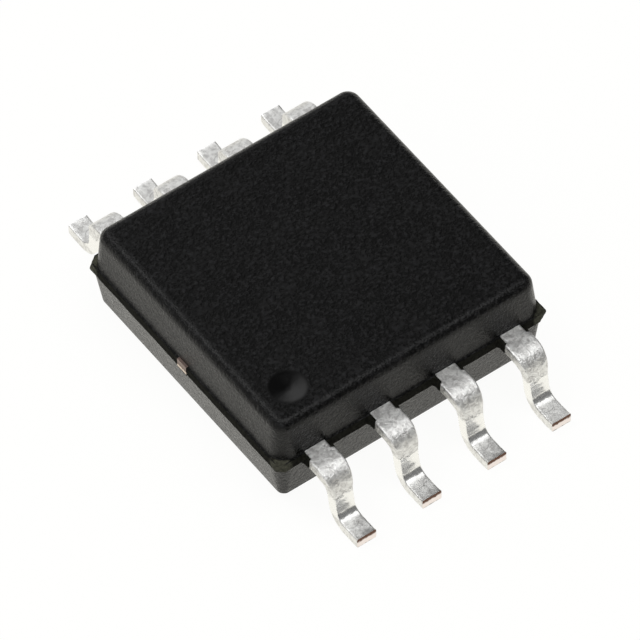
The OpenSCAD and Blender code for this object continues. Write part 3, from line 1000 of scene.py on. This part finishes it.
class CHIP_OT_leads(bpy.types.Operator):
    """Make the eight formed leads"""

    bl_idname = "chip.leads"
    bl_label = "Leads"

    def execute(self, context):
        s = context.scene.chip_leads
        tin, copper = matt_tin(s), sheared_copper(s)
        tree = strip_tree()
        for number in LEADS:
            along, turn = row_place(number)
            swept = swept_lead(number, s, tree, tin)
            form_foot(swept, s)
            swept.transform(turn @ Matrix.Translation((along, 0, 0)))
            part = inner_finger(f"lead_{number}")
            part.from_mesh(swept)
            mesh = bpy.data.meshes.new(f"lead_{number}_detail")
            bmesh.ops.recalc_face_normals(part, faces=part.faces)
            for face in part.faces:
                end_on = abs(face.normal.y) > 0.8
                at_tip = abs(face.calc_center_median().y) > TIP_OUT - CUT_END
                face.material_index = int(end_on and at_tip)
            part.to_mesh(mesh)
            part.free()
            if "custom_normal" in mesh.attributes:
                mesh.attributes.remove(mesh.attributes["custom_normal"])
            for material in (tin, copper):
                mesh.materials.append(material)
            new_piece(f"lead_{number}_detail", mesh, [f"lead_{number}"])
            bpy.data.meshes.remove(swept)
        return {"FINISHED"}


class CHIP_OT_inside(bpy.types.Operator):
    """Give the pieces sealed in the resin their finishes"""

    bl_idname = "chip.inside"
    bl_label = "Inner pieces"

    def execute(self, context):
        set_material("die_pad", lead_frame_copper(context.scene.chip_leads))
        adhesive, *_ = plain_finish("silver-filled epoxy", "#9c9c99", 0.3, 0.6, 0.02, 0.4)
        silicon, *_ = plain_finish("patterned silicon", "#5a626e", 0.4, 0.25, 0.06, 0.5)
        gold, *_ = plain_finish("drawn gold wire", "#dcb45a", 1.0, 0.22, 0.01, 0.15)
        set_material("die_attach", adhesive)
        set_material("die", silicon)
        for number in LEADS:
            set_material(f"bond_wire_{number}", gold)
        return {"FINISHED"}


# Name, place, side and radiance of each lamp
LAMPS = (
    ("overhead_softbox", (0.015, -0.020, 0.10), 0.07, 2.55),
    ("left_softbox", (-0.030, 0.045, 0.10), 0.05, 3.2),
)
STUDIO_WAY = (-0.62, 0.56, -0.55)      # direction along which the studio's grey changes
# Stops of that change: the share of the way from behind to ahead, and the grey there
STUDIO_GREYS = ((0.04, 0.20), (0.15, 0.08), (0.267, 0.08), (0.457, 0.95), (0.477, 0.95), (0.637, 0.42))


def view_axes(s):
    """Right, up and back directions of the camera."""
    a, e = s.azimuth, s.elevation
    back = Vector((math.sin(a) * math.cos(e), -math.cos(a) * math.cos(e), math.sin(e)))
    right = Vector((math.cos(a), math.sin(a), 0.0))
    up = back.cross(right)
    c, t = math.cos(s.roll), math.sin(s.roll)
    return right * c + up * t, up * c - right * t, back


def area_lamp(name, place, size, radiance):
    """Adds a soft square lamp that faces the chip. Radiance 1 looks as bright as white paper."""
    data = bpy.data.lights.new(name, "AREA")
    data.shape = "SQUARE"
    data.size = size
    data.energy = radiance * math.pi * size * size
    lamp = bpy.data.objects.new(name, data)
    bpy.context.scene.collection.objects.link(lamp)
    lamp.location = place
    lamp.rotation_mode = "QUATERNION"
    lamp.rotation_quaternion = (-Vector(place)).to_track_quat("-Z", "Y")


class CHIP_OT_stage(bpy.types.Operator):
    """Set the floor, the lamps and the camera"""

    bl_idname = "chip.stage"
    bl_label = "Stage"

    def execute(self, context):
        scene = context.scene
        s = scene.chip_stage
        self.make_floor(s)
        self.make_world(scene)
        for lamp in LAMPS:
            area_lamp(*lamp)
        right, up, back = view_axes(s)
        data = bpy.data.cameras.new("camera")
        data.lens = s.focal
        data.clip_start = 0.1 * s.distance
        data.clip_end = 100.0
        camera = bpy.data.objects.new("camera", data)
        scene.collection.objects.link(camera)
        place = right * s.aim_right + up * s.aim_up + back * s.distance
        axes = Matrix((right, up, back)).transposed().to_4x4()
        camera.matrix_world = Matrix.Translation(place) @ axes
        scene.camera = camera
        scene.view_settings.view_transform = "Standard"
        return {"FINISHED"}

    def make_floor(self, s):
        """A pale floor that looks white and still takes the chip's shadow."""
        half = s.floor_size / 2
        mesh = bpy.data.meshes.new("floor")
        corners = [(-half, -half, 0), (half, -half, 0), (half, half, 0), (-half, half, 0)]
        mesh.from_pydata(corners, [], [(0, 1, 2, 3)])
        floor = bpy.data.objects.new("floor", mesh)
        bpy.context.scene.collection.objects.link(floor)
        material = bpy.data.materials.new("white paper sweep")
        material.use_nodes = True
        tree = material.node_tree
        tree.nodes.clear()
        matt = add(tree, "ShaderNodeBsdfDiffuse", {"Color": rgba(s.floor)})
        rays = add(tree, "ShaderNodeLightPath")
        seen = add(tree, "ShaderNodeMath",
                   {0: rays.outputs["Is Camera Ray"], 1: rays.outputs["Is Transmission Ray"]},
                   operation="MAXIMUM")
        veil = add(tree, "ShaderNodeBsdfDiffuse", {"Color": rgba([0.06] * 3)})
        glow = add(tree, "ShaderNodeEmission",
                   {"Color": rgba(linear("#fffffe")), "Strength": 0.95})
        bright = add(tree, "ShaderNodeAddShader", {0: veil, 1: glow})
        shown = add(tree, "ShaderNodeMixShader", {0: seen, 1: matt, 2: bright})
        mirrored = add(tree, "ShaderNodeEmission",
                       {"Color": rgba(linear("#fffdf6")), "Strength": 1.07})
        whole = add(tree, "ShaderNodeMixShader",
                    {0: rays.outputs["Is Glossy Ray"], 1: shown, 2: mirrored})
        add(tree, "ShaderNodeOutputMaterial", {"Surface": whole})
        mesh.materials.append(material)

    def make_world(self, scene):
        """A grey studio with a wide bright wall behind the chip, seen low down on its left."""
        world = bpy.data.worlds.new("studio")
        world.use_nodes = True
        tree = world.node_tree
        tree.nodes.clear()
        way = add(tree, "ShaderNodeTexCoord").outputs["Generated"]
        side = add(tree, "ShaderNodeVectorMath", {0: way, 1: STUDIO_WAY}, operation="DOT_PRODUCT")
        level = add(tree, "ShaderNodeMapRange",
                    {"Value": side.outputs["Value"], "From Min": -1.0, "From Max": 1.0})
        grades = add(tree, "ShaderNodeValToRGB", {"Fac": level})
        grades.color_ramp.interpolation = "EASE"
        grey = graded(grades, *((share, [shade] * 3) for share, shade in STUDIO_GREYS))
        sky = add(tree, "ShaderNodeBackground", {"Color": grey, "Strength": 1.0})
        add(tree, "ShaderNodeOutputWorld", {"Surface": sky})
        scene.world = world


class CHIP_PT_pieces(bpy.types.Panel):
    """Lists the pieces of the chip"""

    bl_idname = "CHIP_PT_pieces"
    bl_label = "Small-outline chip"
    bl_space_type = "VIEW_3D"
    bl_region_type = "UI"
    bl_category = "Chip"

    def draw(self, context):
        for operator in OPERATORS:
            self.layout.operator(operator.bl_idname)
        for group in (context.scene.chip_body, context.scene.chip_leads, context.scene.chip_stage):
            box = self.layout.box()
            for name in group.__annotations__:
                box.prop(group, name)


OPERATORS = (CHIP_OT_body, CHIP_OT_leads, CHIP_OT_inside, CHIP_OT_stage)
GROUPS = {"chip_body": BodySettings, "chip_leads": LeadSettings, "chip_stage": StageSettings}


def register():
    for group in GROUPS.values():
        bpy.utils.register_class(group)
    for name, group in GROUPS.items():
        setattr(bpy.types.Scene, name, PointerProperty(type=group))
    for kind in (*OPERATORS, CHIP_PT_pieces):
        bpy.utils.register_class(kind)


def unregister():
    for kind in (CHIP_PT_pieces, *reversed(OPERATORS)):
        bpy.utils.unregister_class(kind)
    for name in GROUPS:
        delattr(bpy.types.Scene, name)
    for group in reversed(GROUPS.values()):
        bpy.utils.unregister_class(group)


def main():
    register()
    bpy.ops.chip.stage()
    bpy.ops.chip.body()
    bpy.ops.chip.leads()
    bpy.ops.chip.inside()


if __name__ == "__main__":
    main()
